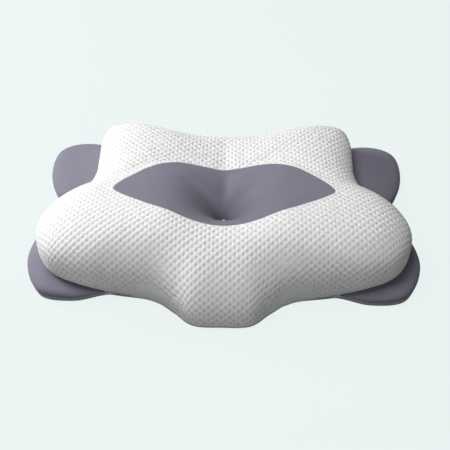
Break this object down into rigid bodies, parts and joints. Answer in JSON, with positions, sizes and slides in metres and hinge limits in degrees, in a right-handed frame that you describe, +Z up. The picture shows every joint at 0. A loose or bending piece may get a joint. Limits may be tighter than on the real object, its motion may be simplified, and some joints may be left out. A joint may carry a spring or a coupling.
{
  "type": "contoured cervical pillow",
  "caption": "Butterfly-shaped contoured foam neck pillow with raised body, four low wings, tufted centre dimple and a zipped removable cover",
  "frame": {"origin": "centre of the bounding box in plan, on the resting face", "axes": "+X to the right across the pillow's width, +Y from the neck side to the head side, +Z up"},
  "size_m": [0.6434, 0.4253, 0.115],
  "materials": {
    "memory_foam": "open-cell memory foam, matt and cream coloured",
    "liner_cloth": "plain thin white lining jersey",
    "white_puff_knit": "thick off-white jacquard knit with staggered raised puffs",
    "grey_fine_knit": "smooth fine-gauge grey-violet stretch knit",
    "base_mesh_knit": "light grey fine mesh knit",
    "white_plastic": "white moulded plastic, satin",
    "cord": "braided off-white polyester cord",
    "zipper_tape": "woven grey-violet zipper tape",
    "nylon_coil": "grey nylon monofilament coil",
    "zinc_alloy": "painted zinc alloy, satin",
    "label_satin": "blank white satin label"
  },
  "bodies": {
    "pillow": {"foam_core": "memory_foam", "liner_top": "liner_cloth", "liner_base": "liner_cloth", "cover_body_panel": "white_puff_knit", "cover_centre_panel": "grey_fine_knit", "wing_panel_front_left": "grey_fine_knit", "wing_panel_front_right": "grey_fine_knit", "wing_panel_rear_left": "grey_fine_knit", "wing_panel_rear_right": "grey_fine_knit", "cover_base_panel": "base_mesh_knit", "tuft_button": "white_plastic", "tuft_cord": "cord", "tuft_backing_disc": "white_plastic", "zipper_tape_upper": "zipper_tape", "zipper_tape_lower": "zipper_tape", "zipper_coil_upper": "nylon_coil", "zipper_coil_lower": "nylon_coil", "zipper_top_stop": "zinc_alloy", "zipper_bottom_stop": "zinc_alloy", "care_label": "label_satin"},
    "slider": {"zipper_slider": "zinc_alloy"},
    "pull": {"zipper_pull": "zinc_alloy"}
  },
  "joints": [
    {"name": "zipper_slide", "type": "slide", "parent": "pillow", "child": "slider", "axis": [1, 0, 0], "range_m": [0, 0.252]},
    {"name": "pull_hinge", "type": "hinge", "parent": "slider", "child": "pull", "pos_m": [-0.126, 0.19465, 0.017], "axis": [0, 0, 1], "range_deg": [0, 175]}
  ]
}
